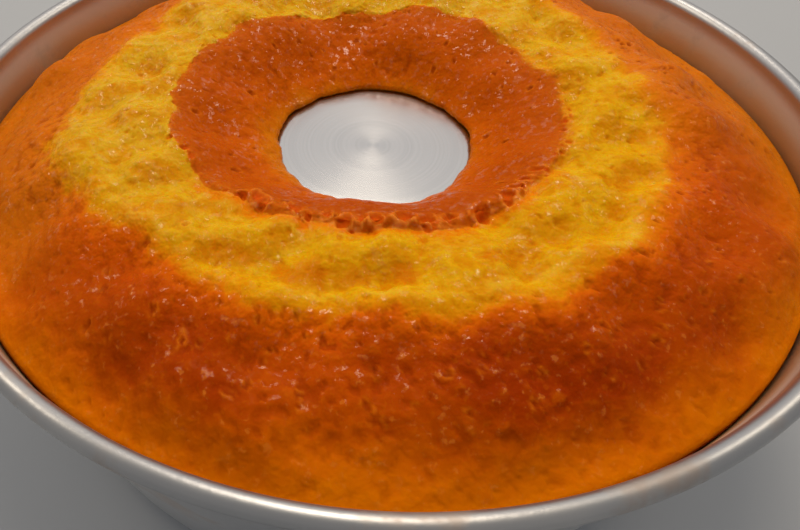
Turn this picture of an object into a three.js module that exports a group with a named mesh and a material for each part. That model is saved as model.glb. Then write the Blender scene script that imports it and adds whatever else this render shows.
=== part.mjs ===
// An orange cake still in the aluminium ring tin that it was baked in.
// Millimetres, +Z up, origin at the middle of the tin's foot. The photographed front faces -Y.
import * as THREE from "three";
import { mergeVertices } from "three/addons/utils/BufferGeometryUtils.js";

// Tin: spun from one sheet, with a rolled rim and a closed conical tube in the middle.
const RIM_DIAMETER = 250;
const BEAD_DIAMETER = 5;
const TIN_HEIGHT = 85;
const SHEET = 1.2;
const FLOOR_RADIUS = 101;
const FLOOR_CORNER = 12;
const TUBE_FOOT_RADIUS = 39;
const TUBE_FOOT_CORNER = 6;
const TUBE_TOP_RADIUS = 31;
const TUBE_TOP_CORNER = 4;
const TUBE_BELOW_BEAD = 11;
const TIN_SIDES = 64;
const CORNER_STEPS = 3;
const FLOOR_CORNER_STEPS = 5;
const BEAD_STEPS = 10;
const BEAD_END_ANGLE = THREE.MathUtils.degToRad(-133);

// Cake: heights are measured from the middle of the rim's bead.
const CAKE_GAP = 0.35;
const LIP_RADIUS = 28.2;
const LIP_THICKNESS = 1;
const CREST_RADIUS = 67;
const CREST_HEIGHT = 9;
const INNER_RISE_POWER = 0.9;
const EDGE_HEIGHT = -11;
const EDGE_TILT = 1.5;
const EDGE_SHRINK = 1;
const EDGE_ROUNDING = 2.2;
const LIP_SETTLE = 10;
const EDGE_SETTLE = 8;
const TEAR_INNER_RADIUS = 53.6;
const TEAR_OUTER_RADIUS = 79.8;
const TEAR_NEAR = 0.3;
const TEAR_FAR = 1.2;
const TEAR_DROP = 0.5;
const TEAR_RISE = 7;
const VALLEY_AT = 0.64;
const VALLEY_DEPTH = 1.7;
const CAKE_SIDES = 100;
const LIP_RINGS = 7;
const TEAR_RINGS = 9;
const SLOPE_RINGS = 9;

// Waves round the cake's hole, round the inner and outer edges of the torn ring, and in its drop.
const LIP_WAVES = [
  { count: 5, size: 0.4, phase: 1 },
  { count: 13, size: 0.3, phase: 0 },
];
const INNER_WAVES = [
  { count: 1, size: 2.5, phase: -1.67 },
  { count: 2, size: 1, phase: 1.04 },
  { count: 3, size: 0.7, phase: -1.83 },
  { count: 5, size: 0.6, phase: 2.66 },
  { count: 17, size: 0.6, phase: 0 },
];
const OUTER_WAVES = [
  { count: 1, size: 2.9, phase: -1.33 },
  { count: 3, size: 1.5, phase: -2.17 },
  { count: 5, size: 0.6, phase: -2.42 },
  { count: 8, size: 1, phase: -0.55 },
  { count: 19, size: 0.9, phase: -0.43 },
];

const DROP_WAVES = [
  { count: 1, size: 0.35, phase: 3.14 },
  { count: 2, size: 0.2, phase: -1.57 },
];

// Unevenness of the baked surface: wavelength and height of each scale of lump.
const SWELL = { wavelength: 62, height: 1.1, seed: 1 };
const LUMPS = { wavelength: 24, height: 0.7, seed: 2 };
const CRUMB_LUMPS = { wavelength: 15, height: 0.6, seed: 3 };
const LUMP_WAVES = 7;
const GOLDEN_ANGLE = Math.PI * (3 - Math.sqrt(5));

const beadRadius = BEAD_DIAMETER / 2;
const beadRing = RIM_DIAMETER / 2 - beadRadius;
const beadHeight = TIN_HEIGHT - beadRadius;
const tubeTopHeight = beadHeight - TUBE_BELOW_BEAD;

// Corners of the tin's inner face, from the rim down the wall, over the floor and up the tube.
const innerCorners = [
  { r: beadRing - beadRadius, z: beadHeight, corner: 0, steps: 0 },
  { r: FLOOR_RADIUS, z: SHEET, corner: FLOOR_CORNER, steps: FLOOR_CORNER_STEPS },
  { r: TUBE_FOOT_RADIUS, z: SHEET, corner: TUBE_FOOT_CORNER, steps: CORNER_STEPS },
  { r: TUBE_TOP_RADIUS, z: tubeTopHeight, corner: TUBE_TOP_CORNER, steps: CORNER_STEPS },
  { r: 0, z: tubeTopHeight, corner: 0, steps: 0 },
];

const smooth = (low, high, x) => THREE.MathUtils.smoothstep(x, low, high);

// The same corners moved sideways by a distance, to the right of the way they run.
function offsetCorners(corners, distance) {
  const sides = corners.slice(1).map((b, i) => {
    const a = corners[i];
    const along = new THREE.Vector2(b.r - a.r, b.z - a.z).normalize();
    const move = new THREE.Vector2(along.y, -along.x).multiplyScalar(distance);
    return { from: new THREE.Vector2(a.r, a.z).add(move), to: new THREE.Vector2(b.r, b.z).add(move), along };
  });
  return corners.map((c, i) => {
    const before = sides[i - 1];
    const after = sides[i];
    if (!before) return { ...c, r: after.from.x, z: after.from.y };
    if (!after) return { ...c, r: before.to.x, z: before.to.y };
    const turn = before.along.cross(after.along);
    const reach = after.from.clone().sub(before.from).cross(after.along) / turn;
    const meet = before.from.clone().addScaledVector(before.along, reach);
    return { ...c, r: meet.x, z: meet.y, corner: c.corner + Math.sign(turn) * distance };
  });
}

// Points along straight sides whose corners are rounded by arcs.
function roundedPath(corners) {
  const path = [];
  corners.forEach((c, i) => {
    const here = new THREE.Vector2(c.r, c.z);
    if (!c.corner) {
      path.push(here);
      return;
    }
    const back = new THREE.Vector2(corners[i - 1].r, corners[i - 1].z).sub(here).normalize();
    const on = new THREE.Vector2(corners[i + 1].r, corners[i + 1].z).sub(here).normalize();
    const half = Math.acos(back.dot(on)) / 2;
    const middle = back.clone().add(on).normalize();
    const centre = here.clone().addScaledVector(middle, c.corner / Math.sin(half));
    const start = here.clone().addScaledVector(back, c.corner / Math.tan(half)).sub(centre);
    const sweep = (Math.PI - 2 * half) * -Math.sign(back.cross(on));
    for (let step = 0; step <= c.steps; step++) {
      const angle = (sweep * step) / c.steps;
      path.push(start.clone().rotateAround(new THREE.Vector2(), angle).add(centre));
    }
  });
  return path;
}

// The rolled rim, from the top of the inner wall over and round to the outer wall.
function beadPath() {
  const points = [];
  for (let step = 1; step <= BEAD_STEPS; step++) {
    const angle = THREE.MathUtils.lerp(Math.PI, BEAD_END_ANGLE, step / BEAD_STEPS);
    points.push(new THREE.Vector2(beadRing + beadRadius * Math.cos(angle), beadHeight + beadRadius * Math.sin(angle)));
  }
  return points;
}

// Keeps only shared positions, so that the surface is closed.
function closedGeometry(geometry) {
  geometry.deleteAttribute("normal");
  geometry.deleteAttribute("uv");
  const merged = mergeVertices(geometry, 1e-4);
  merged.computeVertexNormals();
  return merged;
}

function makeTin() {
  const inside = roundedPath(innerCorners);
  const under = roundedPath(offsetCorners(innerCorners, -SHEET));
  const profile = [...under.slice(1).reverse(), ...beadPath().reverse(), ...inside];
  const geometry = new THREE.LatheGeometry(profile, TIN_SIDES).rotateX(Math.PI / 2);
  const material = new THREE.MeshStandardMaterial({ color: 0xb9b4ae, roughness: 0.35, metalness: 1 });
  const tin = new THREE.Mesh(closedGeometry(geometry), material);
  tin.name = "tin";
  return tin;
}

// Rounded lumps with no direction of their own: plane waves turned by the golden angle.
function lumps(scale, x, y) {
  let sum = 0;
  for (let wave = 0; wave < LUMP_WAVES; wave++) {
    const turn = (wave + LUMP_WAVES * scale.seed) * GOLDEN_ANGLE;
    const length = scale.wavelength * (0.75 + (0.5 * wave) / LUMP_WAVES);
    const along = (x * Math.cos(turn) + y * Math.sin(turn)) / length;
    sum += Math.sin(2 * Math.PI * along + turn * turn);
  }
  return (scale.height * sum) / Math.sqrt(LUMP_WAVES / 2);
}

// Radii of the uneven hole and of the ring where the crust tore open.
const wavy = (radius, waves, angle) =>
  waves.reduce((sum, wave) => sum + wave.size * Math.sin(wave.count * angle + wave.phase), radius);
const lipRadius = (angle) => wavy(LIP_RADIUS, LIP_WAVES, angle);
const tearInner = (angle) => wavy(TEAR_INNER_RADIUS, INNER_WAVES, angle);
const tearOuter = (angle) => wavy(TEAR_OUTER_RADIUS, OUTER_WAVES, angle);

// Height of the domed ring before it tore: steep at the tube, gently rounded to the wall.
function domeHeight(radius, lip, edge) {
  const lipHeight = LIP_THICKNESS + CAKE_GAP - TUBE_BELOW_BEAD;
  if (radius < CREST_RADIUS) {
    const rise = Math.max(0, (radius - lip) / (CREST_RADIUS - lip));
    return lipHeight + (CREST_HEIGHT - lipHeight) * Math.sin((rise * Math.PI) / 2) ** INNER_RISE_POWER;
  }
  const fall = (radius - CREST_RADIUS) / (edge.radius - CREST_RADIUS);
  return CREST_HEIGHT - (CREST_HEIGHT - edge.height) * (1 - Math.cos((fall * Math.PI) / 2));
}

// Height of the baked surface: swollen and lumpy. The torn crumb drops a little below the inner crust,
// falls to a shallow valley and rises again to the outer crust.
function topHeight(radius, angle, edge) {
  const x = radius * Math.cos(angle);
  const y = radius * Math.sin(angle);
  const inner = tearInner(angle);
  const outer = tearOuter(angle);
  const lip = lipRadius(angle);
  const across = (radius - inner) / (outer - inner);
  const valley = smooth(0, VALLEY_AT, across) * (1 - smooth(VALLEY_AT, 1, across));
  const crumb = smooth(inner - TEAR_NEAR, inner + TEAR_FAR, radius) * (1 - smooth(outer - TEAR_RISE, outer, radius));
  const held = smooth(lip, lip + LIP_SETTLE, radius) * (1 - smooth(edge.radius - EDGE_SETTLE, edge.radius, radius));
  const uneven = lumps(SWELL, x, y) + lumps(LUMPS, x, y);
  const torn = crumb * (lumps(CRUMB_LUMPS, x, y) - wavy(TEAR_DROP, DROP_WAVES, angle)) - VALLEY_DEPTH * valley;
  return beadHeight + domeHeight(radius, lip, edge) + held * (uneven + torn);
}

// Radii of the rings of the top surface, which follow the torn edges round the cake.
function topRadii(angle, edge) {
  const lip = lipRadius(angle);
  const inner = tearInner(angle);
  const outer = tearOuter(angle);
  const spread = (from, to, count) => Array.from({ length: count }, (_, i) => from + ((to - from) * i) / count);
  return [
    ...spread(lip, inner - TEAR_NEAR, LIP_RINGS),
    inner - TEAR_NEAR,
    ...spread(inner + TEAR_FAR, outer, TEAR_RINGS),
    ...spread(outer, edge.radius, SLOPE_RINGS),
    edge.radius,
  ];
}

// One closed slice through the cake: its top, then down the wall, over the floor and up the tube.
// The cake's edge stands a little higher against the wall at the front than at the back.
function cakeSlice(angle, sides) {
  const wall = sides[0].clone().sub(sides[1]);
  const wallRadius = (z) => sides[1].x + (wall.x * (z - sides[1].y)) / wall.y;
  const height = EDGE_HEIGHT - EDGE_TILT * Math.sin(angle);
  const edge = { height, radius: wallRadius(beadHeight + height) - EDGE_SHRINK };
  const top = topRadii(angle, edge).map((r) => new THREE.Vector2(r, topHeight(r, angle, edge)));
  const below = beadHeight + height - EDGE_ROUNDING;
  const underside = sides.slice(1, -2);
  const lip = new THREE.Vector2(lipRadius(angle), tubeTopHeight + CAKE_GAP);
  return [...top, new THREE.Vector2(wallRadius(below), below), ...underside, lip];
}

function makeCake() {
  const sides = roundedPath(offsetCorners(innerCorners, CAKE_GAP));
  const positions = [];
  const index = [];
  let count = 0;
  for (let side = 0; side < CAKE_SIDES; side++) {
    const angle = (2 * Math.PI * side) / CAKE_SIDES;
    const slice = cakeSlice(angle, sides);
    count = slice.length;
    slice.forEach((p) => positions.push(p.x * Math.cos(angle), p.x * Math.sin(angle), p.y));
  }
  for (let side = 0; side < CAKE_SIDES; side++) {
    const next = (side + 1) % CAKE_SIDES;
    for (let ring = 0; ring < count; ring++) {
      const on = (ring + 1) % count;
      const [a, b, c, d] = [side * count + ring, next * count + ring, next * count + on, side * count + on];
      index.push(a, c, b, a, d, c);
    }
  }
  const geometry = new THREE.BufferGeometry();
  geometry.setAttribute("position", new THREE.Float32BufferAttribute(positions, 3));
  geometry.setIndex(index);
  geometry.computeVertexNormals();
  const material = new THREE.MeshStandardMaterial({ color: 0xb45a0c, roughness: 0.6, metalness: 0 });
  const cake = new THREE.Mesh(geometry, material);
  cake.name = "cake";
  return cake;
}

const part = new THREE.Group();
part.add(makeTin(), makeCake());

export default part;
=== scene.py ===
import itertools
import math

import bpy
import numpy as np
from mathutils import Matrix, Vector


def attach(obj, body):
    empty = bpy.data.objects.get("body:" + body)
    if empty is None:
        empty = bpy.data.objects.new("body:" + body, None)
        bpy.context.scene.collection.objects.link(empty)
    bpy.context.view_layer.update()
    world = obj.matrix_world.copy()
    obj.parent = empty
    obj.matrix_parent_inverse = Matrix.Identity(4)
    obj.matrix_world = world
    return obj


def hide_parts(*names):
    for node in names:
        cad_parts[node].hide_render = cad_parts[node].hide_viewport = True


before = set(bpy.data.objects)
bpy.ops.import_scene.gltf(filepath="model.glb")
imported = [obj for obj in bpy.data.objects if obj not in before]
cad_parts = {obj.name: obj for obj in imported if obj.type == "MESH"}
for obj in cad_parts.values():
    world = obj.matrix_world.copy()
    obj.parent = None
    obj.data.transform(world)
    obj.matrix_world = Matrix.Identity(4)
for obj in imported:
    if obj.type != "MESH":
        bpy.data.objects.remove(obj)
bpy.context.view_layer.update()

MM = 0.001

# Tin sizes in millimetres, the same as the solid's.
RIM_DIAMETER = 250
BEAD_DIAMETER = 5
TIN_HEIGHT = 85
SHEET = 1.2
FLOOR_RADIUS = 101
FLOOR_CORNER = 12
TUBE_FOOT_RADIUS = 39
TUBE_FOOT_CORNER = 6
TUBE_TOP_RADIUS = 31
TUBE_TOP_CORNER = 4
TUBE_BELOW_BEAD = 11
BEAD_END_ANGLE = math.radians(-133)

# Cake sizes in millimetres, heights from the middle of the rim's bead, the same as the solid's.
CAKE_GAP = 0.35
LIP_RADIUS = 28.2
LIP_THICKNESS = 1
CREST_RADIUS = 67
CREST_HEIGHT = 9
INNER_RISE_POWER = 0.9
EDGE_HEIGHT = -11
EDGE_TILT = 1.5
EDGE_SHRINK = 1
EDGE_ROUNDING = 2.2
LIP_SETTLE = 10
EDGE_SETTLE = 8
TEAR_INNER_RADIUS = 53.6
TEAR_OUTER_RADIUS = 79.8
TEAR_NEAR = 0.3
TEAR_FAR = 1.2
TEAR_DROP = 0.5
TEAR_RISE = 7
VALLEY_AT = 0.64
VALLEY_DEPTH = 1.7
LIP_WAVES = [(5, 0.4, 1), (13, 0.3, 0)]
INNER_WAVES = [(1, 2.5, -1.67), (2, 1, 1.04), (3, 0.7, -1.83), (5, 0.6, 2.66), (17, 0.6, 0)]
OUTER_WAVES = [(1, 2.9, -1.33), (3, 1.5, -2.17), (5, 0.6, -2.42), (8, 1, -0.55), (19, 0.9, -0.43)]
DROP_WAVES = [(1, 0.35, 3.14), (2, 0.2, -1.57)]
SWELL = (62, 1.1, 1)
LUMPS = (24, 0.7, 2)
CRUMB_LUMPS = (15, 0.6, 3)
LUMP_WAVES = 7
LUMP_SHORTEST = 0.75
LUMP_SPREAD = 0.5
GOLDEN_ANGLE = math.pi * (3 - math.sqrt(5))

# Fineness of the tin's mesh.
TIN_SIDES = 256
CORNER_STEPS = 10
BEAD_STEPS = 36
WALL_STEP = 6

# Fineness of the cake's mesh, which is closest about the inner torn edge.
CAKE_SIDES = 720
BAND_RINGS = 30
EDGE_RINGS = 16
CRUMB_RINGS = 35
CRUST_RINGS = 46
EDGE_NEAR = 1.5
EDGE_FAR = 2.5
UNDERSIDE_STEP = 4

# Forms of about a millimetre: a softer inner torn edge, its deeper step in front, and an undercut lip.
TEAR_SOFT = 1
MOAT_DEPTH = 1.2
LIP_UNDERCUT = 0.5

# Finer relief in millimetres. A layer of noise is its height, wavelength, octaves, seed and gain.
DENTS = (0.12, 48, 1, 5, 0.5)
DENTED_HEIGHTS = (20, 60)
DENTED_RADII = (60, 90)
CRUMB_SWELL = (0.22, 9, 2, 51, 0.5)
CRUMB_GRAIN = (0.22, 4.5, 2, 65, 0.5)
CRUMB_PITS = (0.34, 3.4, 2, 61, 0.55)
CRUMB_PIT_RANGE = (0.1, 0.65)
CRUMB_LIFT = 0.1
CRUST_CREASES = (0.6, 5.2, 2, 71, 0.55)
CRUST_SWELL = (0.2, 10, 2, 81, 0.5)
CRUST_PITS = (0.62, 3.1, 2, 75, 0.5)
CRUST_PIT_RANGE = (0.15, 0.5)
CRUST_LIFT = 0.12
ROUGH_PATCHES = (1, 30, 2, 91, 0.5)
ROUGH_RANGE = (-0.5, 0.6)
GROOVE_BREAKS = (1, 6, 2, 58, 0.5)
GROOVE_BREAK_RANGE = (-0.5, 0.4)
BILLOW_MIDDLE = 0.35
PORE_WARPS = [(0.35, 2, 1, 93, 0.5), (0.35, 2, 1, 94, 0.5)]
BUBBLE_WARPS = [(0.7, 3, 2, 95, 0.5), (0.7, 3, 2, 97, 0.5)]
RELIEF_SETTLE = 3
STEEPEST = 1.5
LEAST_STEP = 0.05

# Layers of noise round the cake, whose wavelength is a share of the radius.
LIP_RAGGED = (0.45, 0.16, 3, 21, 0.5)
INNER_RAGGED = (0.9, 0.25, 4, 31, 0.68)
OUTER_RAGGED = (1.6, 0.14, 3, 41, 0.6)
GROOVE_WANDER = (0.1, 0.35, 2, 55, 0.5)
GROOVE_ENDS = (0.25, 0.5, 2, 57, 0.5)

# Where forms fade in or out, in millimetres from a torn edge. The moat ends at shares of the crumb's width.
CRUMB_BEGINS = (-0.2, 0.6)
CRUMB_ENDS = (-3, 2)
BAND_ENDS = (-1, 1)
CRUST_BEGINS = (-2, 2)
RIM_BEGINS = (12, 26)
MOAT_BEGINS = (-0.9, 1.2)
MOAT_ENDS = (0.08, 0.5)

# Sides of the cake, by how far a point lies to that side as a share of its radius.
FRONT_SIDE = (0.3, 0.8)
LEFT_SIDE = (0.5, 0.9)
RIGHT_SIDE = (0.35, 0.85)
GROOVE_SIDE = (0.25, 0.85)

# A faint groove along the crumb's front with a ridge beyond it, placed by shares of the crumb's width.
GROOVE_AT = 0.62
GROOVE_WIDTH = 0.18
GROOVE_DEPTH = 0.25
GROOVE_LEAN = 0.25
RIDGE_BEYOND = 0.28
RIDGE_WIDTH = 0.1
RIDGE_SHARE = 0.8

# Shares of the crust's relief that stay on the band and in the calmest patches, or are lost elsewhere.
BAND_ROUGH = 0.5
PATCH_ROUGH = 0.65
RIM_CALM = 0.12
RIGHT_CALM = 0.45
LEFT_CALM = 0.5
LEFT_PORE_CALM = 0.6

# Pores: how many, between which radii, of which sizes, and how deep as shares of their size.
CRUMB_PORES = (260, 54, 82, (0.35, 0.75), (0.3, 0.8))
CRUST_PORES = (330, 77, 108, (0.3, 0.85), (0.4, 0.9))
BAND_PORES = (50, 32, 52, (0.4, 0.8), (0.4, 0.8))
PORE_STRETCH = 1.4
PORE_RIM = 0.3

# Bubbles that burst at the front of the inner torn edge, large ones in a row and small ones scattered.
LARGE_BUBBLES = 20
LARGE_ROW_DEGREES = (226, 318)
LARGE_ROW_SPREAD = 1.5
LARGE_SIZES = (0.8, 1.7)
LARGE_OFFSETS = (-2.6, 0.4)
SMALL_BUBBLES = 32
SMALL_DEGREES = (190, 355)
SMALL_SIZES = (0.35, 0.8)
SMALL_OFFSETS = (-1.2, 1.6)
BUBBLE_DEPTHS = (0.4, 0.75)
BUBBLE_TURN = 0.7
BUBBLE_STRETCH = 1.4
BUBBLE_RIM = 0.38

# A hollow's raised rim, and the part of it that catches the light, as shares of the hollow's size.
HOLLOW_REACH = 3
HOLLOW_RIM = (1.35, 0.35)
HOLLOW_LIT_RIM = (1.3, 0.28)

# The crumb's lumps count as turned to the front where they rise to the back, over a step each way.
TURNED_STEP = 0.5
TURNED_RISE = 0.22

# Distances from the torn edges that the cake's hidden sides are given.
HIDDEN_FROM_INNER = -30
HIDDEN_FROM_OUTER = 40

# Seeds of the noise and of the pores and bubbles, and the noise's own scale.
NOISE_SEED = 11
NOISE_CELLS = 256
NOISE_SHIFT = 17.3
NOISE_HEIGHT = 1.6
CAKE_SEED = 5

# Camera as in the photograph: pixels of an 800 by 530 picture, and sizes and places in millimetres.
PICTURE_WIDTH = 800
FOCAL_PIXELS = 750
CENTRE_SHIFT = 111.1
SENSOR_WIDTH = 36
CAMERA_X = -26.05
CAMERA_Y = -178.78
CAMERA_ABOVE_BEAD = 125.95
CAMERA_PITCH = math.radians(46.346)
CAMERA_ROLL = math.radians(-1.793)
CAMERA_NEAREST = 10

# Lights in metres and watts: name, place, size, power and colour.
LIGHT_TARGET = (0, 0, 0.05)
WARM = (1.0, 0.845, 0.65)
LIGHTS = [
    ("back_softbox", (0, 1.3, 1.2), (2.4, 1.6), 5, (1.0, 0.93, 0.88)),
    ("lamp", (0.05, 0.27, 1.1), (0.35, 0.35), 3.1, WARM),
    ("back_lamp", (0.04, 0.52, 1.0), (0.3, 0.3), 1.7, (1.0, 0.85, 0.68)),
    ("right_lamp", (0.7, 0.35, 0.9), (0.3, 0.3), 1.45, WARM),
    ("left_lamp", (-0.7, 0.35, 0.9), (0.3, 0.3), 1.75, WARM),
]
ROOM_COLOUR = (1.0, 0.95, 0.9, 1)
ROOM_STRENGTH = 0.37

# Half the floor's width in millimetres.
STAGE_REACH = 30000

bead_radius = BEAD_DIAMETER / 2
bead_ring = RIM_DIAMETER / 2 - bead_radius
bead_height = TIN_HEIGHT - bead_radius
tube_top = bead_height - TUBE_BELOW_BEAD
camera_place = (CAMERA_X, CAMERA_Y, CAMERA_ABOVE_BEAD + bead_height)


def smooth(low, high, x):
    t = np.clip((x - low) / (high - low), 0, 1)
    return t * t * (3 - 2 * t)


def bump_at(x, middle, width):
    return np.exp(-(((x - middle) / width) ** 2))


# Gradient noise in space from a seeded table, about -1 to 1.
noise_draw = np.random.default_rng(NOISE_SEED)
noise_order = noise_draw.permutation(NOISE_CELLS)
noise_ways = noise_draw.normal(size=(NOISE_CELLS, 3))
noise_ways /= np.linalg.norm(noise_ways, axis=1, keepdims=True)


def noise(place, wavelength, seed):
    spot = place / wavelength + NOISE_SHIFT * seed
    low = np.floor(spot).astype(int)
    part = spot - low
    ease = part ** 3 * (part * (part * 6 - 15) + 10)
    total = 0
    for corner in itertools.product((0, 1), repeat=3):
        cell = low + corner
        key = 0
        for axis in range(3):
            key = noise_order[(key + cell[..., axis]) % NOISE_CELLS]
        share = np.prod(np.where(corner, ease, 1 - ease), -1)
        total = total + share * ((part - corner) * noise_ways[key]).sum(-1)
    return NOISE_HEIGHT * total


def layered(place, wavelength, octaves, seed, gain):
    total = 0
    for octave in range(octaves):
        total = total + gain ** octave * noise(place, wavelength / 2 ** octave, seed + octave)
    return total


# Rounded lumps with sharp creases between them, about -0.35 to 0.65.
def billow(place, wavelength, octaves, seed, gain):
    total = 0
    for octave in range(octaves):
        lump = np.abs(noise(place, wavelength / 2 ** octave, seed + octave)) - BILLOW_MIDDLE
        total = total + gain ** octave * lump
    return total


def layer(scale, place, pattern=layered):
    height, *waves = scale
    return height * pattern(place, *waves)


# Pits that begin where the noise passes one value, and are deepest where it passes another.
def pits(scale, place, shallow, deep):
    depth, *waves = scale
    return depth * smooth(shallow, deep, layered(place, *waves))


# Corners moved sideways, so that the path through them keeps a distance from the first one.
def offset_corners(corners, distance):
    points = np.array([c[:2] for c in corners], float)
    along = np.diff(points, axis=0)
    along /= np.linalg.norm(along, axis=1, keepdims=True)
    move = distance * np.stack([along[:, 1], -along[:, 0]], 1)
    moved = [(*(points[0] + move[0]), 0)]
    for i in range(1, len(corners) - 1):
        before = points[i - 1] + move[i - 1]
        after = points[i] + move[i]
        turn = along[i - 1][0] * along[i][1] - along[i - 1][1] * along[i][0]
        gap = after - before
        reach = (gap[0] * along[i][1] - gap[1] * along[i][0]) / turn
        moved.append((*(before + reach * along[i - 1]), corners[i][2] + np.sign(turn) * distance))
    moved.append((*(points[-1] + move[-1]), 0))
    return moved


# Points along straight sides whose corners are rounded by arcs.
def rounded_path(corners):
    path = []
    for i, (r, z, corner) in enumerate(corners):
        here = Vector((r, z))
        if corner == 0:
            path.append(here)
            continue
        back = (Vector(corners[i - 1][:2]) - here).normalized()
        on = (Vector(corners[i + 1][:2]) - here).normalized()
        half = math.acos(back.dot(on)) / 2
        centre = here + (back + on).normalized() * (corner / math.sin(half))
        start = here + back * (corner / math.tan(half)) - centre
        sweep = -(math.pi - 2 * half) * math.copysign(1, back.x * on.y - back.y * on.x)
        for step in range(CORNER_STEPS + 1):
            path.append(Matrix.Rotation(sweep * step / CORNER_STEPS, 2) @ start + centre)
    return path


# The tin's inside from the bead to the middle of the tube's top: radius, height and rounding.
inner_corners = [
    (bead_ring - bead_radius, bead_height, 0),
    (FLOOR_RADIUS, SHEET, FLOOR_CORNER),
    (TUBE_FOOT_RADIUS, SHEET, TUBE_FOOT_CORNER),
    (TUBE_TOP_RADIUS, tube_top, TUBE_TOP_CORNER),
    (0, tube_top, 0),
]
cake_sides = rounded_path(offset_corners(inner_corners, CAKE_GAP))


# A mesh object from arrays of corners in millimetres and of faces.
def mesh_object(name, points, faces, smooth_shading=True):
    mesh = bpy.data.meshes.new(name)
    mesh.from_pydata((points * MM).tolist(), [], faces)
    mesh.update()
    mesh.polygons.foreach_set("use_smooth", [smooth_shading] * len(mesh.polygons))
    piece = bpy.data.objects.new(name, mesh)
    bpy.context.scene.collection.objects.link(piece)
    return piece


def keep_numbers(piece, name, values):
    kept = piece.data.attributes.new(name, "FLOAT", "POINT")
    kept.data.foreach_set("value", np.ascontiguousarray(values, dtype=np.float32))


# Tin
def spread_path(path, step):
    fine = [path[0]]
    for a, b in zip(path, path[1:]):
        count = max(1, math.ceil((b - a).length / step))
        fine += [a.lerp(b, (i + 1) / count) for i in range(count)]
    return fine


# The sheet's section, from the top of the tube round the bead to the underside of the tube's top.
def tin_section():
    inside = rounded_path(inner_corners)
    under = rounded_path(offset_corners(inner_corners, -SHEET))
    bead = []
    for step in range(1, BEAD_STEPS + 1):
        angle = math.pi + (BEAD_END_ANGLE - math.pi) * step / BEAD_STEPS
        out = bead_ring + bead_radius * math.cos(angle)
        up = bead_height + bead_radius * math.sin(angle)
        bead.append(Vector((out, up)))
    return spread_path(list(reversed(inside)) + bead + under[1:], WALL_STEP)


def make_tin():
    section = tin_section()
    ring = np.array([(p.x, p.y) for p in section])[1:-1]
    count = len(ring)
    angle = np.arange(TIN_SIDES) * (2 * math.pi / TIN_SIDES)
    turn = np.repeat(angle[:, None], count, 1)
    z = np.repeat(ring[None, :, 1], TIN_SIDES, 0)

    def turned(radius):
        return np.stack([radius * np.cos(turn), radius * np.sin(turn), z], -1)

    r = np.repeat(ring[None, :, 0], TIN_SIDES, 0)
    on_wall = smooth(*DENTED_HEIGHTS, z) * smooth(*DENTED_RADII, r)
    points = turned(r + layer(DENTS, turned(r)) * on_wall).reshape(-1, 3)
    top_middle = len(points)
    points = np.concatenate([points, [(0, 0, section[0].y), (0, 0, section[-1].y)]])
    faces = []
    for side in range(TIN_SIDES):
        here = side * count
        on = ((side + 1) % TIN_SIDES) * count
        faces.append((top_middle, here, on))
        faces.append((top_middle + 1, on + count - 1, here + count - 1))
        faces += [(here + i, here + i + 1, on + i + 1, on + i) for i in range(count - 1)]
    piece = mesh_object("tin_visual", points, faces)
    within = np.arange(count) < np.argmax(ring[:, 1])
    keep_numbers(piece, "within", np.concatenate([np.tile(within, TIN_SIDES), [1, 0]]))
    return piece


# Cake
def wavy(radius, waves, angle):
    return radius + sum(size * np.sin(count * angle + phase) for count, size, phase in waves)


def lumps(scale, x, y):
    wavelength, height, seed = scale
    total = 0
    for wave in range(LUMP_WAVES):
        turn = (wave + LUMP_WAVES * seed) * GOLDEN_ANGLE
        length = wavelength * (LUMP_SHORTEST + LUMP_SPREAD * wave / LUMP_WAVES)
        along = (x * math.cos(turn) + y * math.sin(turn)) / length
        total = total + np.sin(2 * math.pi * along + turn * turn)
    return height * total / math.sqrt(LUMP_WAVES / 2)


def dome_height(radius, lip, edge_radius, edge_height):
    lip_height = LIP_THICKNESS + CAKE_GAP - TUBE_BELOW_BEAD
    rise = np.clip((radius - lip) / (CREST_RADIUS - lip), 0, 1)
    up = lip_height + (CREST_HEIGHT - lip_height) * np.sin(rise * math.pi / 2) ** INNER_RISE_POWER
    fall = np.clip((radius - CREST_RADIUS) / (edge_radius - CREST_RADIUS), 0, 1)
    down = CREST_HEIGHT - (CREST_HEIGHT - edge_height) * (1 - np.cos(fall * math.pi / 2))
    return np.where(radius < CREST_RADIUS, up, down)


def wall_radius(z):
    top, foot = cake_sides[:2]
    slope = (top.x - foot.x) / (top.y - foot.y)
    return foot.x + slope * (z - foot.y)


def between(a, b, count):
    return a + (b - a) * (np.arange(count) / count)[None, :]


# Hollows with a raised rim: gives each point's depth, and how far it lies in a hollow and on a rim.
def hollows(x, y, centres, sizes, depths, turns, stretch, rim):
    depth = np.zeros_like(x)
    inside = np.zeros_like(x)
    on_rim = np.zeros_like(x)
    for (cx, cy), size, deep, turn in zip(centres, sizes, depths, turns):
        near = (np.abs(x - cx) < HOLLOW_REACH * size) & (np.abs(y - cy) < HOLLOW_REACH * size)
        dx = x[near] - cx
        dy = y[near] - cy
        along = (dx * math.cos(turn) + dy * math.sin(turn)) / stretch
        across = -dx * math.sin(turn) + dy * math.cos(turn)
        far = np.hypot(along, across) / size
        depth[near] += deep * (np.exp(-(far ** 4)) - rim * bump_at(far, *HOLLOW_RIM))
        inside[near] = np.maximum(inside[near], np.exp(-(far ** 4)))
        on_rim[near] = np.maximum(on_rim[near], bump_at(far, *HOLLOW_LIT_RIM))
    return depth, inside, on_rim


def scatter(draw, count, low, high, size, depth):
    radius = np.sqrt(draw.uniform(low ** 2, high ** 2, count))
    angle = draw.uniform(0, 2 * math.pi, count)
    centres = np.stack([radius * np.cos(angle), radius * np.sin(angle)], 1)
    sizes = draw.uniform(*size, count)
    return centres, sizes, sizes * draw.uniform(*depth, count), draw.uniform(0, math.pi, count)


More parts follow.
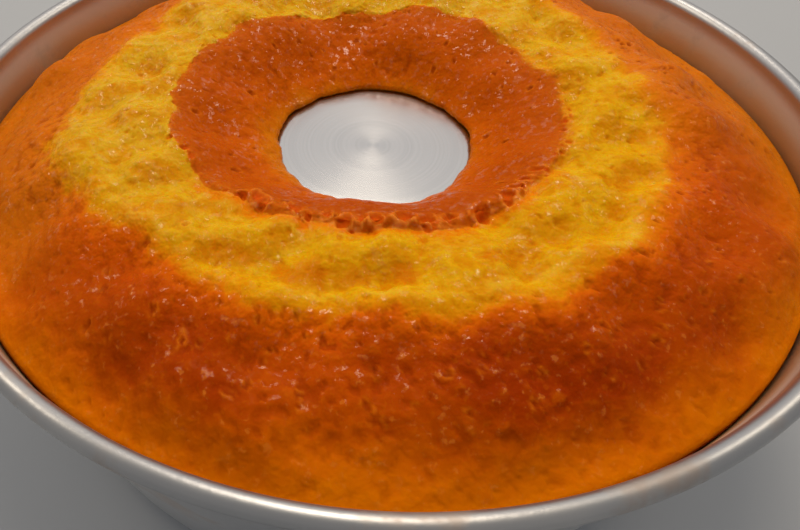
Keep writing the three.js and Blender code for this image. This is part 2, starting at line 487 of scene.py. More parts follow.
# The cake's top, with a row of points for each side, from the lip out to the edge.
class CakeTop:
    def __init__(self):
        self.angle = (np.arange(CAKE_SIDES) * (2 * math.pi / CAKE_SIDES))[:, None]
        self.ring_x = np.cos(self.angle)
        self.ring_y = np.sin(self.angle)
        self.around = np.stack([self.ring_x, self.ring_y, np.zeros_like(self.angle)], -1)
        self.edge_height = EDGE_HEIGHT - EDGE_TILT * np.sin(self.angle)
        self.edge = wall_radius(bead_height + self.edge_height) - EDGE_SHRINK
        self.lip = wavy(LIP_RADIUS, LIP_WAVES, self.angle) + layer(LIP_RAGGED, self.around)
        self.inner = wavy(TEAR_INNER_RADIUS, INNER_WAVES, self.angle) + layer(INNER_RAGGED, self.around)
        self.outer = wavy(TEAR_OUTER_RADIUS, OUTER_WAVES, self.angle) + layer(OUTER_RAGGED, self.around)
        self.radius = np.concatenate([
            between(self.lip, self.inner - EDGE_NEAR, BAND_RINGS),
            between(self.inner - EDGE_NEAR, self.inner + EDGE_FAR, EDGE_RINGS),
            between(self.inner + EDGE_FAR, self.outer, CRUMB_RINGS),
            between(self.outer, self.edge, CRUST_RINGS),
            self.edge,
        ], 1)
        self.x = self.radius * self.ring_x
        self.y = self.radius * self.ring_y
        self.from_inner = self.radius - self.inner
        self.from_outer = self.radius - self.outer
        self.part_way = self.from_inner / (self.outer - self.inner)
        past_inner = smooth(*CRUMB_BEGINS, self.from_inner)
        self.open_crumb = past_inner * (1 - smooth(*CRUMB_ENDS, self.from_outer))
        self.left_crust = smooth(*LEFT_SIDE, -self.ring_x) * smooth(*CRUST_BEGINS, self.from_outer)
        self.base = self.base_height()
        self.place = np.stack([self.x, self.y, self.base], -1)
        self.groove = self.front_groove()
        rough_peel = (1 - self.open_crumb) * self.crust_roughness() * self.crust_peel()
        self.relief = self.open_crumb * self.crumb_relief() + rough_peel
        draw = np.random.default_rng(CAKE_SEED)
        self.sink_pores(draw)
        self.burst_bubbles(draw)
        self.relief = self.relief * self.off_ends(RELIEF_SETTLE, RELIEF_SETTLE)

    # 1 on the top, falling to 0 at the lip and at the edge.
    def off_ends(self, lip_reach, edge_reach):
        risen = smooth(self.lip, self.lip + lip_reach, self.radius)
        return risen * (1 - smooth(self.edge - edge_reach, self.edge, self.radius))

    def base_height(self):
        past_inner = smooth(-TEAR_NEAR - TEAR_SOFT, TEAR_FAR + TEAR_SOFT, self.from_inner)
        crumb = past_inner * (1 - smooth(-TEAR_RISE, 0, self.from_outer))
        drop = wavy(TEAR_DROP, DROP_WAVES, self.angle)
        valley = smooth(0, VALLEY_AT, self.part_way) * (1 - smooth(VALLEY_AT, 1, self.part_way))
        uneven = lumps(SWELL, self.x, self.y) + lumps(LUMPS, self.x, self.y)
        torn = crumb * (lumps(CRUMB_LUMPS, self.x, self.y) - drop) - VALLEY_DEPTH * valley
        dome = dome_height(self.radius, self.lip, self.edge, self.edge_height)
        base = dome + self.off_ends(LIP_SETTLE, EDGE_SETTLE) * (uneven + torn)
        at_front = smooth(*FRONT_SIDE, -self.ring_y)
        moat = smooth(*MOAT_BEGINS, self.from_inner) * (1 - smooth(*MOAT_ENDS, self.part_way))
        return base - MOAT_DEPTH * at_front * moat

    def front_groove(self):
        middle = GROOVE_AT + layer(GROOVE_WANDER, self.around)
        facing = layer(GROOVE_ENDS, self.around) - self.ring_y + GROOVE_LEAN * self.ring_x
        unbroken = smooth(*GROOVE_BREAK_RANGE, layer(GROOVE_BREAKS, self.place))
        shown = smooth(*GROOVE_SIDE, facing) * unbroken
        ridge = RIDGE_SHARE * bump_at(self.part_way, middle + RIDGE_BEYOND, RIDGE_WIDTH)
        return shown * (bump_at(self.part_way, middle, GROOVE_WIDTH) - ridge)

    def crumb_relief(self):
        grain = layer(CRUMB_SWELL, self.place) + layer(CRUMB_GRAIN, self.place)
        pitted = grain - pits(CRUMB_PITS, self.place, *CRUMB_PIT_RANGE) + CRUMB_LIFT
        return pitted - GROOVE_DEPTH * self.groove

    def crust_roughness(self):
        patch = smooth(*ROUGH_RANGE, layer(ROUGH_PATCHES, self.place))
        rough = PATCH_ROUGH + (1 - PATCH_ROUGH) * patch
        return rough * (1 - RIM_CALM * smooth(*RIM_BEGINS, self.from_outer))

    def crust_peel(self):
        peel = layer(CRUST_CREASES, self.place, billow) + layer(CRUST_SWELL, self.place)
        peel = peel - pits(CRUST_PITS, self.place, *CRUST_PIT_RANGE) + CRUST_LIFT
        peel = peel * (BAND_ROUGH + (1 - BAND_ROUGH) * smooth(*BAND_ENDS, self.from_inner))
        on_right = smooth(*RIGHT_SIDE, self.ring_x)
        return peel * (1 - RIGHT_CALM * on_right - LEFT_CALM * self.left_crust)

    def warped(self, warps):
        x_warp, y_warp = warps
        return self.x + layer(x_warp, self.place), self.y + layer(y_warp, self.place)

    def sink_pores(self, draw):
        self.pore = np.zeros_like(self.x)
        self.pore_rim = np.zeros_like(self.x)
        spots = self.warped(PORE_WARPS)
        crust = 1 - self.open_crumb
        for pores, mask in (
            (CRUMB_PORES, self.open_crumb),
            (CRUST_PORES, crust * (1 - LEFT_PORE_CALM * self.left_crust)),
            (BAND_PORES, crust),
        ):
            depth, inside, on_rim = hollows(*spots, *scatter(draw, *pores), PORE_STRETCH, PORE_RIM)
            self.relief = self.relief - depth * mask
            self.pore = np.maximum(self.pore, inside * mask)
            self.pore_rim = np.maximum(self.pore_rim, on_rim * mask)

    def burst_bubbles(self, draw):
        def large_and_small(large, small):
            drawn = (draw.uniform(*large, LARGE_BUBBLES), draw.uniform(*small, SMALL_BUBBLES))
            return np.concatenate(drawn)

        row = np.linspace(*LARGE_ROW_DEGREES, LARGE_BUBBLES)
        row = row + draw.normal(0, LARGE_ROW_SPREAD, LARGE_BUBBLES)
        angle = np.radians(np.concatenate([row, draw.uniform(*SMALL_DEGREES, SMALL_BUBBLES)]))
        size = large_and_small(LARGE_SIZES, SMALL_SIZES)
        offset = large_and_small(LARGE_OFFSETS, SMALL_OFFSETS)
        radius = np.interp(angle, self.angle[:, 0], self.inner[:, 0]) + offset
        centres = np.stack([radius * np.cos(angle), radius * np.sin(angle)], 1)
        depths = size * draw.uniform(*BUBBLE_DEPTHS, len(size))
        turns = angle + draw.normal(0, BUBBLE_TURN, len(size))
        shapes = (centres, size, depths, turns, BUBBLE_STRETCH, BUBBLE_RIM)
        depth, self.cave, self.bubble_rim_highlight = hollows(*self.warped(BUBBLE_WARPS), *shapes)
        self.relief = self.relief - depth

    # How far the crumb's lumps are turned to the front, away from the lamps behind, where the material
    # paints shade on them.
    def turned(self):
        behind = lumps(CRUMB_LUMPS, self.x, self.y + TURNED_STEP)
        before = lumps(CRUMB_LUMPS, self.x, self.y - TURNED_STEP)
        return smooth(0.0, TURNED_RISE, behind - before)

    # Radius and height of each point, with the relief raised square to the slope.
    def section(self):
        tilt = np.gradient(self.base, axis=1) / np.maximum(np.gradient(self.radius, axis=1), LEAST_STEP)
        tilt = np.clip(tilt, -STEEPEST, STEEPEST)
        length = np.sqrt(1 + tilt ** 2)
        far = self.radius - self.relief * tilt / length
        high = bead_height + self.base + self.relief / length
        return far, high


# The rest of the cake's section: down the wall, over the floor, up the tube and under the lip.
def cake_underside(top):
    below = bead_height + top.edge_height - EDGE_ROUNDING
    sides = np.array([(p.x, p.y) for p in cake_sides[1:-2]])[::UNDERSIDE_STEP]
    rows = np.repeat(sides[None], CAKE_SIDES, 0)
    lip_below = np.full_like(top.lip, tube_top + CAKE_GAP)
    far = np.concatenate([wall_radius(below), rows[..., 0], top.lip + LIP_UNDERCUT], 1)
    high = np.concatenate([below, rows[..., 1], lip_below], 1)
    return far, high


def make_cake():
    top = CakeTop()
    parts = (top.section(), cake_underside(top))
    far, high = [np.concatenate(halves, 1) for halves in zip(*parts)]
    points = np.stack([far * top.ring_x, far * top.ring_y, high], -1).reshape(-1, 3)
    count = far.shape[1]
    side, ring = np.meshgrid(np.arange(CAKE_SIDES), np.arange(count), indexing="ij")
    here = side * count
    on = (side + 1) % CAKE_SIDES * count
    next_ring = (ring + 1) % count
    faces = np.stack([here + ring, here + next_ring, on + next_ring, on + ring], -1).reshape(-1, 4)
    piece = mesh_object("cake_visual", points, faces.tolist())
    for name, values, on_rest in (
        ("from_inner", top.from_inner, HIDDEN_FROM_INNER),
        ("from_outer", top.from_outer, HIDDEN_FROM_OUTER),
        ("relief", top.relief, 0),
        ("pore", top.pore, 0),
        ("pore_rim", top.pore_rim, 0),
        ("cave", top.cave, 0),
        ("bubble_rim_highlight", top.bubble_rim_highlight, 0),
        ("turned", top.turned(), 0),
        ("groove", top.groove, 0),
    ):
        rest = np.full(parts[1][0].shape, on_rest)
        keep_numbers(piece, name, np.concatenate([values, rest], 1).reshape(-1))
    return piece


# Colours as on a screen, 0 to 255, made linear by the sRGB curve.
def linear(red, green, blue):
    def channel(value):
        value /= 255
        return value / 12.92 if value <= 0.04045 else ((value + 0.055) / 1.055) ** 2.4

    return (channel(red), channel(green), channel(blue), 1)


# Colours of the cake. The first ramp runs out over the crumb's border, the second from the lip to the tear.
CRUST_RAMP = [
    (0.0, linear(220, 165, 6)),
    (0.08, linear(222, 156, 5)),
    (0.125, linear(226, 128, 4)),
    (0.175, linear(218, 102, 2)),
    (0.26, linear(208, 88, 1)),
    (0.42, linear(204, 87, 0)),
    (0.65, linear(204, 91, 0)),
    (0.84, linear(214, 106, 0)),
    (1.0, linear(222, 122, 0)),
]
BAND_RAMP = [
    (0.0, linear(210, 118, 10)),
    (0.2, linear(202, 94, 3)),
    (0.5, linear(189, 82, 2)),
    (0.85, linear(188, 84, 4)),
    (1.0, linear(193, 95, 9)),
]
BAND_FRINGE = linear(212, 116, 12)
BAND_SHADE = linear(164, 62, 6)
CRUMB_LOW_SHADE = linear(210, 120, 0)
CRUMB_PALLID = linear(209, 161, 24)
CRUMB_BORDER = linear(228, 142, 6)
CRUMB_TURNED_SHADE = linear(220, 132, 2)
CRUMB_AMBER = linear(206, 124, 0)
CRUMB_HOLLOW_SHADE = linear(208, 120, 0)
CRUMB_GROOVE_SHADE = linear(202, 100, 0)
CRUMB_PORE_SHADE = linear(206, 118, 2)
CREST_PALE_HIGHLIGHT = linear(230, 182, 66)
CREST_RICH_HIGHLIGHT = linear(228, 174, 26)
RAISED_HIGHLIGHT_PALE = linear(230, 186, 68)
RAISED_HIGHLIGHT_RICH = linear(230, 182, 38)
CRUST_GOLDEN_AND_LIT = linear(212, 116, 12)
CRUST_BROWNED = linear(152, 46, 0)
CRUST_CREASE_SHADE = linear(146, 46, 0)
CRUST_LUMP_HIGHLIGHT = linear(214, 104, 6)
SPECK = linear(216, 116, 8)
CRUST_FLECK_HIGHLIGHT = linear(228, 134, 30)
CRUST_PORE_SHADE = linear(134, 46, 0)
LIT_PORE_RIM = linear(222, 122, 18)
TORN_SEEP = linear(228, 112, 4)
TORN_CREST_HIGHLIGHT = linear(232, 150, 60)
BUBBLE_RIM_HIGHLIGHT = linear(234, 140, 40)
BUBBLE_CAVE = linear(210, 82, 4)

# The cake's gloss, and the light that passes through its crumb.
COAT_ROUGHNESS = 0.13
GLOSS_LEVEL = 0.03
GLOSS_TINT = (1.0, 0.7, 0.45, 1)
GLOW_COLOUR = (1.0, 0.4, 0.1)
GLOW_DEPTH = 0.0013

# Colours of the tin and the floor, as linear values.
TIN_MARK = (0.57, 0.58, 0.595, 1)
TIN_SHINE = (0.6, 0.61, 0.625, 1)
TIN_DULLED = (0.33, 0.34, 0.36, 1)
TIN_OUTSIDE = (0.56, 0.57, 0.585, 1)
TIN_WALL_DARKER = (0.45, 0.35, 0.17, 1)
TIN_BY_RIM = (0.57, 0.55, 0.51, 1)
TIN_CLOUDED = (0.56, 0.55, 0.54, 1)
TIN_STAINED = (0.36, 0.22, 0.12, 1)
STAGE_DARK = (0.39, 0.42, 0.46, 1)
STAGE_LIGHT = (0.425, 0.455, 0.5, 1)
STAGE_FAR = (0.88, 0.88, 0.88, 1)

# How the floor and the tin's tool marks reflect.
STAGE_ROUGHNESS = 0.7
MARK_STRENGTH = 0.5
MARK_TURN = 0.25

# Noise in the materials: scale, detail and roughness.
FINE_NOISE = (650, 1, 0.55)
SMALL_NOISE = (300, 2, 0.6)
RAGGED_NOISE = (300, 4, 0.55)
PATCH_NOISE = (80, 3, 0.55)
BROAD_NOISE = (24, 2, 0.55)
WET_NOISE = (520, 2, 0.55)
MARK_NOISE = (1200, 1, 0.6)
RING_NOISE = (160, 2, 0.55)
STAIN_NOISE = (55, 4, 0.6)
CLOUD_NOISE = (18, 3, 0.55)
GRIT_NOISE = (700, 2, 0.55)
STAGE_NOISE = (3, 2, 0.55)

# Bumps in the materials: strength, and height in metres.
COARSE_BUMP = (0.7, 0.0014)
FINE_BUMP = (0.25, 0.0005)
CLOUD_BUMP = (0.06, 0.002)
GRIT_BUMP = (0.12, 0.0003)


# A material's node graph. Its colour is painted over in steps, and places are in metres.
class Graph:
    def __init__(self, name):
        self.material = bpy.data.materials.new(name)
        self.material.use_nodes = True
        self.nodes = self.material.node_tree.nodes
        self.links = self.material.node_tree.links
        self.shader = self.nodes["Principled BSDF"]
        self.place = self.nodes.new("ShaderNodeTexCoord").outputs["Object"]
        self.colour = None

    def put(self, socket, value):
        if isinstance(value, bpy.types.NodeSocket):
            self.links.new(value, socket)
        else:
            socket.default_value = value

    def set(self, name, value):
        self.put(self.shader.inputs[name], value)

    def axes(self):
        node = self.nodes.new("ShaderNodeSeparateXYZ")
        self.links.new(self.place, node.inputs[0])
        return list(node.outputs)

    def math(self, operation, a, b=0.0):
        node = self.nodes.new("ShaderNodeMath")
        node.operation = operation
        self.put(node.inputs[0], a)
        self.put(node.inputs[1], b)
        return node.outputs[0]

    def plus(self, a, b):
        return self.math("ADD", a, b)

    def minus(self, a, b):
        return self.math("SUBTRACT", a, b)

    def times(self, product, *factors):
        for factor in factors:
            product = self.math("MULTIPLY", product, factor)
        return product

    def most(self, a, b):
        return self.math("MAXIMUM", a, b)

    # Turns noise about a half into a distance about zero.
    def swing(self, value, size):
        return self.times(self.minus(value, 0.5), size)

    def ease(self, value, low, high, out_low=0.0, out_high=1.0, curve="SMOOTHSTEP"):
        node = self.nodes.new("ShaderNodeMapRange")
        node.interpolation_type = curve
        self.put(node.inputs["Value"], value)
        node.inputs["From Min"].default_value = low
        node.inputs["From Max"].default_value = high
        node.inputs["To Min"].default_value = out_low
        node.inputs["To Max"].default_value = out_high
        return node.outputs["Result"]

    def noise(self, scale, detail, roughness, vector=None):
        node = self.nodes.new("ShaderNodeTexNoise")
        self.links.new(self.place if vector is None else vector, node.inputs["Vector"])
        node.inputs["Scale"].default_value = scale
        node.inputs["Detail"].default_value = detail
        node.inputs["Roughness"].default_value = roughness
        return node.outputs["Fac"]

    def attribute(self, name):
        node = self.nodes.new("ShaderNodeAttribute")
        node.attribute_name = name
        return node.outputs["Fac"]

    def mix(self, share, a, b):
        node = self.nodes.new("ShaderNodeMix")
        node.data_type = "RGBA"
        self.put(node.inputs["Factor"], share)
        self.put(node.inputs[6], a)
        self.put(node.inputs[7], b)
        return node.outputs[2]

    def paint(self, share, colour):
        self.colour = self.mix(share, self.colour, colour)

    def ramp(self, value, stops):
        node = self.nodes.new("ShaderNodeValToRGB")
        self.put(node.inputs["Fac"], value)
        elements = node.color_ramp.elements
        while len(elements) > 1:
            elements.remove(elements[-1])
        for index, (position, colour) in enumerate(stops):
            element = elements[0] if index == 0 else elements.new(position)
            element.position = position
            element.color = colour
        return node.outputs["Color"]

    def bump(self, height, scale, under=None):
        strength, distance = scale
        node = self.nodes.new("ShaderNodeBump")
        node.inputs["Strength"].default_value = strength
        node.inputs["Distance"].default_value = distance
        self.links.new(height, node.inputs["Height"])
        if under is not None:
            self.links.new(under, node.inputs["Normal"])
        return node.outputs["Normal"]


# Baked cake: mottled crumb and crust. Distances from the torn edges and relief are in millimetres.
class CakeGraph(Graph):
    def __init__(self):
        super().__init__("baked_cake")
        self.x, self.y = self.axes()[:2]
        self.inner = self.attribute("from_inner")
        self.outer = self.attribute("from_outer")
        self.relief = self.attribute("relief")
        self.fine = self.noise(*FINE_NOISE)
        self.small = self.noise(*SMALL_NOISE)
        self.ragged = self.noise(*RAGGED_NOISE)
        self.patch = self.noise(*PATCH_NOISE)
        self.broad = self.noise(*BROAD_NOISE)
        self.find_inner_edge()
        self.find_outer_edge()
        self.colour_zones()
        self.colour_crumb()
        self.colour_crust()
        self.colour_torn_edge()
        self.add_gloss()
        self.add_bumps()

    # The inner torn edge is ragged, further out at the front and softer on the right.
    def find_inner_edge(self):
        self.jag = self.swing(self.ragged, 3.0)
        further = self.ease(self.y, -0.05, -0.02, 1.3, 0.0)
        self.from_edge = self.minus(self.plus(self.inner, self.jag), further)
        blend = self.ease(self.x, 0.012, 0.045, 1.0, 0.12)
        self.opened = self.ease(self.times(self.from_edge, blend), -0.25, 0.35)

    # The crumb's outer border wanders, fades slowly on the right and runs out to a point on the left.
    def find_outer_edge(self):
        self.wander = self.swing(self.patch, 11)
        grain = self.swing(self.ragged, 6)
        reach = self.plus(self.minus(self.outer, 0.8), self.plus(self.wander, grain))
        nearby = self.math("MINIMUM", self.most(reach, -4.0), 8.0)
        gradual = self.ease(self.x, 0.04, 0.075, 0.0, 0.42)
        reach = self.minus(reach, self.times(nearby, gradual))
        reach = self.plus(reach, self.ease(self.x, 0.05, 0.075, 0.0, 2.2))
        self.left = self.ease(self.x, -0.095, -0.065, 1.0, 0.0)
        pointed = self.times(self.ease(self.y, -0.055, -0.03), self.ease(self.y, -0.012, 0.012, 1.0, 0.0))
        self.reach = self.minus(reach, self.times(self.left, pointed, 4.5))
        self.is_crumb = self.times(self.opened, self.ease(self.reach, -1, 2, 1.0, 0.0))
        self.is_crust = self.minus(1.0, self.is_crumb)

    def paint_crumb(self, share, colour):
        self.paint(self.times(share, self.is_crumb), colour)

    def paint_crust(self, share, colour):
        self.paint(self.times(share, self.is_crust), colour)

    def colour_zones(self):
        outward = self.ramp(self.ease(self.reach, -4, 36, curve="LINEAR"), CRUST_RAMP)
        inward = self.plus(self.inner, self.times(self.wander, 0.4))
        band = self.ramp(self.ease(inward, -27, 0, curve="LINEAR"), BAND_RAMP)
        band = self.mix(self.ease(self.from_edge, -1.4, 0.0, 0.0, 0.5), band, BAND_FRINGE)
        at_front = self.ease(self.y, -0.055, -0.025, 0.55, 0.0)
        shaded = self.times(at_front, self.ease(self.inner, -6, -2, 1.0, 0.2))
        band = self.mix(shaded, band, BAND_SHADE)
        self.colour = self.mix(self.opened, band, outward)

    # Crumb is paler towards the back left and amber at its border, with painted highlights on its lumps and
    # painted shade in its hollows.
    def colour_crumb(self):
        rich = self.ease(self.minus(self.times(self.x, 0.6), self.y), -0.03, 0.07)
        # Painted shade: amber where the relief is low.
        self.paint_crumb(self.ease(self.relief, -0.5, 0.05, 0.5, 0.0), CRUMB_LOW_SHADE)
        off_border = self.ease(self.reach, -7, -1, 1.0, 0.25)
        self.paint_crumb(self.times(self.minus(1.0, rich), off_border, 0.7), CRUMB_PALLID)
        self.paint_crumb(self.ease(self.reach, -5.5, 0.0, 0.0, 0.4), CRUMB_BORDER)
        # Painted shade: amber on lumps turned from the lamps.
        self.paint_crumb(self.times(self.attribute("turned"), 0.45), CRUMB_TURNED_SHADE)
        front_right = self.times(self.ease(self.x, 0.0, 0.03), self.ease(self.y, -0.05, -0.03, 0.12, 0.0))
        self.paint_crumb(front_right, CRUMB_AMBER)
        # Painted shade in the hollows of the fine noise, and painted highlights on its crests.
        self.paint_crumb(self.ease(self.small, 0.36, 0.52, 0.3, 0.0), CRUMB_HOLLOW_SHADE)
        crest_highlight = self.mix(rich, CREST_PALE_HIGHLIGHT, CREST_RICH_HIGHLIGHT)
        self.paint_crumb(self.ease(self.small, 0.5, 0.66, 0.0, 0.35), crest_highlight)
        # Painted shade: amber along the groove.
        groove = self.attribute("groove")
        off_right = self.ease(self.x, 0.005, 0.04, 1.0, 0.35)
        self.paint_crumb(self.times(self.ease(groove, 0.0, 1.0, 0.0, 0.58), off_right), CRUMB_GROOVE_SHADE)
        # Painted highlights: paler on raised relief and on the ridge beyond the groove.
        raised = self.most(self.ease(self.relief, 0.05, 0.7), self.ease(groove, -0.8, -0.1, 1.0, 0.0))
        self.paint_crumb(self.times(raised, 0.7), self.mix(rich, RAISED_HIGHLIGHT_PALE, RAISED_HIGHLIGHT_RICH))

    # Crust is browned in patches and most at the front, golden at the left and back with painted light on
    # the left, and painted shade darkens its creases.
    def colour_crust(self):
        # On the left the golden tone is partly painted light.
        on_left = self.times(self.left, self.ease(self.y, -0.065, -0.035, 0.0, 0.8))
        golden = self.most(on_left, self.ease(self.y, -0.05, 0.0, 0.0, 0.75))
        self.paint_crust(self.times(golden, self.opened), CRUST_GOLDEN_AND_LIT)
        front = self.ease(self.y, -0.105, -0.04, 1.0, 0.0)
        right = self.ease(self.x, 0.04, 0.1, 0.0, 0.5)
        right = self.times(right, self.ease(self.y, -0.035, 0.005, 1.0, 0.1))
        back = self.ease(self.y, 0.075, 0.105, 0.0, 0.5)
        around = self.ease(self.most(front, self.most(right, back)), 0.0, 1.0, 0.12, 1.0, "LINEAR")
        outward = self.times(self.ease(self.reach, 2, 9), self.ease(self.reach, 19, 33, 1.0, 0.12))
        patches = self.ease(self.broad, 0.3, 0.62, 0.35, 1.0)
        self.paint(self.times(around, outward, patches), CRUST_BROWNED)
        # Painted shade in the creases, and painted highlights on the lumps.
        crease_shade = self.ease(self.relief, -0.45, 0.0, 0.45, 0.0)
        self.paint_crust(self.times(crease_shade, self.ease(self.reach, 12, 26, 1.0, 0.5)), CRUST_CREASE_SHADE)
        self.paint_crust(self.ease(self.relief, 0.0, 0.5, 0.0, 0.45), CRUST_LUMP_HIGHLIGHT)
        self.paint(self.ease(self.fine, 0.56, 0.74, 0.0, 0.15), SPECK)
        # Painted highlights on the pores' rims, and painted shade in the pores.
        lit_rim = self.times(self.attribute("pore_rim"), self.ease(self.small, 0.4, 0.6, 0.1, 0.5))
        self.paint_crust(lit_rim, LIT_PORE_RIM)
        pore = self.mix(self.is_crumb, CRUST_PORE_SHADE, CRUMB_PORE_SHADE)
        self.paint(self.times(self.attribute("pore"), 0.45), pore)

    # At the front the inner torn edge is moist orange, with painted highlights round its burst bubbles and
    # on its crests.
    def colour_torn_edge(self):
        at_front = self.ease(self.y, -0.042, -0.026, 1.0, 0.0)
        seep = self.ease(self.plus(self.from_edge, self.jag), -0.5, 5.0, 0.85, 0.0)
        self.paint(self.times(seep, self.opened, at_front), TORN_SEEP)
        # Painted highlights round the burst bubbles.
        bubble_highlight = self.times(self.attribute("bubble_rim_highlight"), self.ease(self.small, 0.42, 0.62, 0.0, 0.5))
        self.paint(bubble_highlight, BUBBLE_RIM_HIGHLIGHT)
        self.paint(self.times(self.attribute("cave"), 0.7), BUBBLE_CAVE)
        # Painted highlights on the crests along the front of the torn edge.
        by_edge = self.times(self.ease(self.inner, -2.5, -0.5), self.ease(self.inner, 1.0, 3.0, 1.0, 0.0))
        by_edge = self.times(by_edge, self.ease(self.y, -0.045, -0.02, 0.45, 0.0))
        self.paint(self.times(by_edge, self.ease(self.relief, 0.05, 0.4)), TORN_CREST_HIGHLIGHT)

    # Moist spots shine, less at the front, at the edge, on the right and in the crumb, and round them the
    # crust is flecked with painted highlights.
    def add_gloss(self):
        wet_spot = self.plus(self.noise(*WET_NOISE), self.times(self.is_crumb, 0.035))
        wet_spot = self.plus(wet_spot, self.ease(self.inner, -6, 0, 0.0, -0.03))
        # Painted highlights: lighter flecks round the moist spots.
        fleck_highlight = self.times(self.ease(wet_spot, 0.57, 0.67), self.ease(self.inner, -1, 1, 0.1, 0.35))
        self.paint_crust(self.times(fleck_highlight, self.ease(self.relief, -0.2, 0.1)), CRUST_FLECK_HIGHLIGHT)
        self.set("Base Color", self.colour)
        self.set("Roughness", self.ease(self.small, 0.42, 0.66, 0.55, 0.24))
        wet = self.times(
            self.ease(wet_spot, 0.535, 0.61),
            self.ease(self.patch, 0.35, 0.6, 0.4, 1.0),
            self.ease(self.relief, -0.3, 0.1),
            self.ease(self.reach, 4, 24, 1.0, 0.35),
            self.ease(self.x, 0.045, 0.09, 1.0, 0.4),
            self.ease(self.y, -0.1, -0.07, 0.7, 1.0),
            self.ease(self.is_crumb, 0.0, 1.0, 1.0, 0.6),
        )
        self.set("Coat Weight", wet)
        self.set("Coat Roughness", COAT_ROUGHNESS)
        self.set("Specular IOR Level", GLOSS_LEVEL)
        self.set("Specular Tint", GLOSS_TINT)
        at_tear = self.times(self.ease(self.inner, -5, -1.5), self.ease(self.inner, 3, 6, 1.0, 0.0))
        soft = self.most(self.is_crumb, at_tear)
        self.set("Subsurface Weight", self.ease(soft, 0.0, 1.0, 0.2, 0.6))
        self.set("Subsurface Radius", GLOW_COLOUR)
        self.set("Subsurface Scale", GLOW_DEPTH)

    def add_bumps(self):
        ruffle = self.ease(self.reach, 6, 18, 1.0, 0.5)
        ruffle = self.times(ruffle, self.ease(self.inner, -4, 0, 0.7, 1.0))
        coarse = self.bump(self.times(self.small, ruffle), COARSE_BUMP)
        normal = self.bump(self.times(self.fine, ruffle), FINE_BUMP, coarse)
        self.set("Normal", normal)
        self.set("Coat Normal", normal)


# Spun aluminium: rings of fine tool marks round the axis, dulled and stained a little by baking, and
# browner and darker down the inside wall.
def tin_material():
    g = Graph("spun_aluminium")
    x, y, z = g.axes()
    radius = g.math("SQRT", g.plus(g.times(x, x), g.times(y, y)))
    rings = g.nodes.new("ShaderNodeCombineXYZ")
    g.links.new(radius, rings.inputs[0])
    g.links.new(z, rings.inputs[1])
    marks = g.noise(*MARK_NOISE, rings.outputs[0])
    bands = g.noise(*RING_NOISE, rings.outputs[0])
    stain = g.noise(*STAIN_NOISE)
    cloud = g.noise(*CLOUD_NOISE)
    within = g.attribute("within")
    wall = g.times(g.ease(z, 0.079, 0.0825, 1.0, 0.0), g.ease(radius, 0.085, 0.1))
    inner_wall = g.times(wall, within)
    by_rim = g.ease(z, 0.07, 0.081)
    baked = g.times(g.ease(stain, 0.55, 0.72), g.ease(radius, 0.1, 0.118))

    g.colour = g.mix(g.ease(marks, 0.3, 0.7), TIN_MARK, TIN_SHINE)
    g.paint(g.ease(radius, 0.095, 0.118, 0.0, 0.8), TIN_DULLED)
    g.paint(g.times(wall, g.minus(1.0, within)), TIN_OUTSIDE)
    # The inside wall is browner and darker towards the cake and paler by the rim.
    g.paint(inner_wall, g.mix(by_rim, TIN_WALL_DARKER, TIN_BY_RIM))
    g.paint(g.ease(cloud, 0.4, 0.7, 0.0, 0.35), TIN_CLOUDED)
    g.paint(g.times(baked, 0.35), TIN_STAINED)
    g.set("Base Color", g.colour)
    g.set("Metallic", 1.0)

    rough = g.plus(g.ease(bands, 0.3, 0.7, 0.23, 0.255), g.times(baked, 0.15))
    rough = g.plus(rough, g.ease(radius, 0.09, 0.112, 0.0, 0.12))
    rough = g.plus(rough, g.times(inner_wall, g.ease(by_rim, 0.0, 1.0, 0.06, 0.2)))
    g.set("Roughness", rough)
    g.set("Anisotropic", MARK_STRENGTH)
    g.set("Anisotropic Rotation", MARK_TURN)
    tangent = g.nodes.new("ShaderNodeTangent")
    tangent.direction_type = "RADIAL"
    tangent.axis = "Z"
    g.set("Tangent", tangent.outputs[0])
    grit = g.times(g.noise(*GRIT_NOISE), g.ease(radius, 0.112, 0.12))
    g.set("Normal", g.bump(grit, GRIT_BUMP, g.bump(cloud, CLOUD_BUMP)))
    return g.material


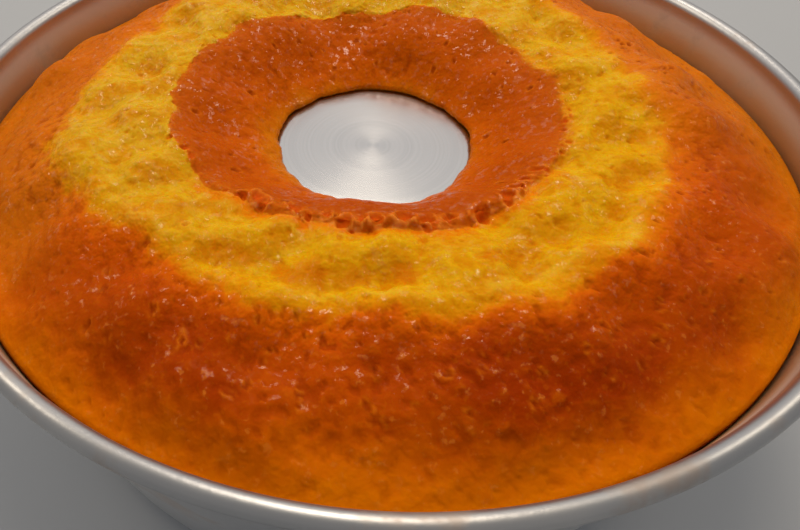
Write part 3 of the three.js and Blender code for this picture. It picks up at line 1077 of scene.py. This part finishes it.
# Plain floor, paler in the distance.
def floor_material():
    g = Graph("plain_floor")
    far = g.nodes.new("ShaderNodeVectorMath")
    far.operation = "LENGTH"
    g.links.new(g.place, far.inputs[0])
    g.colour = g.mix(g.noise(*STAGE_NOISE), STAGE_DARK, STAGE_LIGHT)
    g.paint(g.ease(far.outputs["Value"], 0.35, 2.4), STAGE_FAR)
    g.set("Base Color", g.colour)
    g.set("Roughness", STAGE_ROUGHNESS)
    return g.material


def add_camera():
    data = bpy.data.cameras.new("camera")
    data.sensor_width = SENSOR_WIDTH
    data.lens = FOCAL_PIXELS * data.sensor_width / PICTURE_WIDTH
    data.shift_x = CENTRE_SHIFT / PICTURE_WIDTH
    data.clip_start = CAMERA_NEAREST * MM
    camera = bpy.data.objects.new("camera", data)
    ahead = Vector((0, math.cos(CAMERA_PITCH), -math.sin(CAMERA_PITCH)))
    level = Vector((1, 0, 0))
    up = level.cross(ahead)
    right = level * math.cos(CAMERA_ROLL) + up * math.sin(CAMERA_ROLL)
    upward = up * math.cos(CAMERA_ROLL) - level * math.sin(CAMERA_ROLL)
    turn = Matrix((right, upward, -ahead)).transposed().to_4x4()
    camera.matrix_world = Matrix.Translation(Vector(camera_place) * MM) @ turn
    bpy.context.scene.collection.objects.link(camera)
    bpy.context.scene.camera = camera


def add_light(name, place, size, power, colour):
    data = bpy.data.lights.new(name, "AREA")
    data.shape = "RECTANGLE"
    data.size, data.size_y = size
    data.energy = power
    data.color = colour
    light = bpy.data.objects.new(name, data)
    light.location = place
    light.rotation_euler = (Vector(LIGHT_TARGET) - Vector(place)).to_track_quat("-Z", "Y").to_euler()
    bpy.context.scene.collection.objects.link(light)


def add_room():
    world = bpy.data.worlds.new("soft_room")
    bpy.context.scene.world = world
    world.use_nodes = True
    background = world.node_tree.nodes["Background"]
    background.inputs["Color"].default_value = ROOM_COLOUR
    background.inputs["Strength"].default_value = ROOM_STRENGTH


bpy.context.scene.view_settings.view_transform = "Standard"
add_camera()
add_room()
for light in LIGHTS:
    add_light(*light)

floor_corners = STAGE_REACH * np.array([(-1, -1, 0), (1, -1, 0), (1, 1, 0), (-1, 1, 0)], float)
floor = mesh_object("floor", floor_corners, [(0, 1, 2, 3)], False)
floor.data.materials.append(floor_material())

tin = make_tin()
tin.data.materials.append(tin_material())
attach(tin, "root")
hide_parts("tin")

cake = make_cake()
cake.data.materials.append(CakeGraph().material)
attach(cake, "root")
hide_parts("cake")
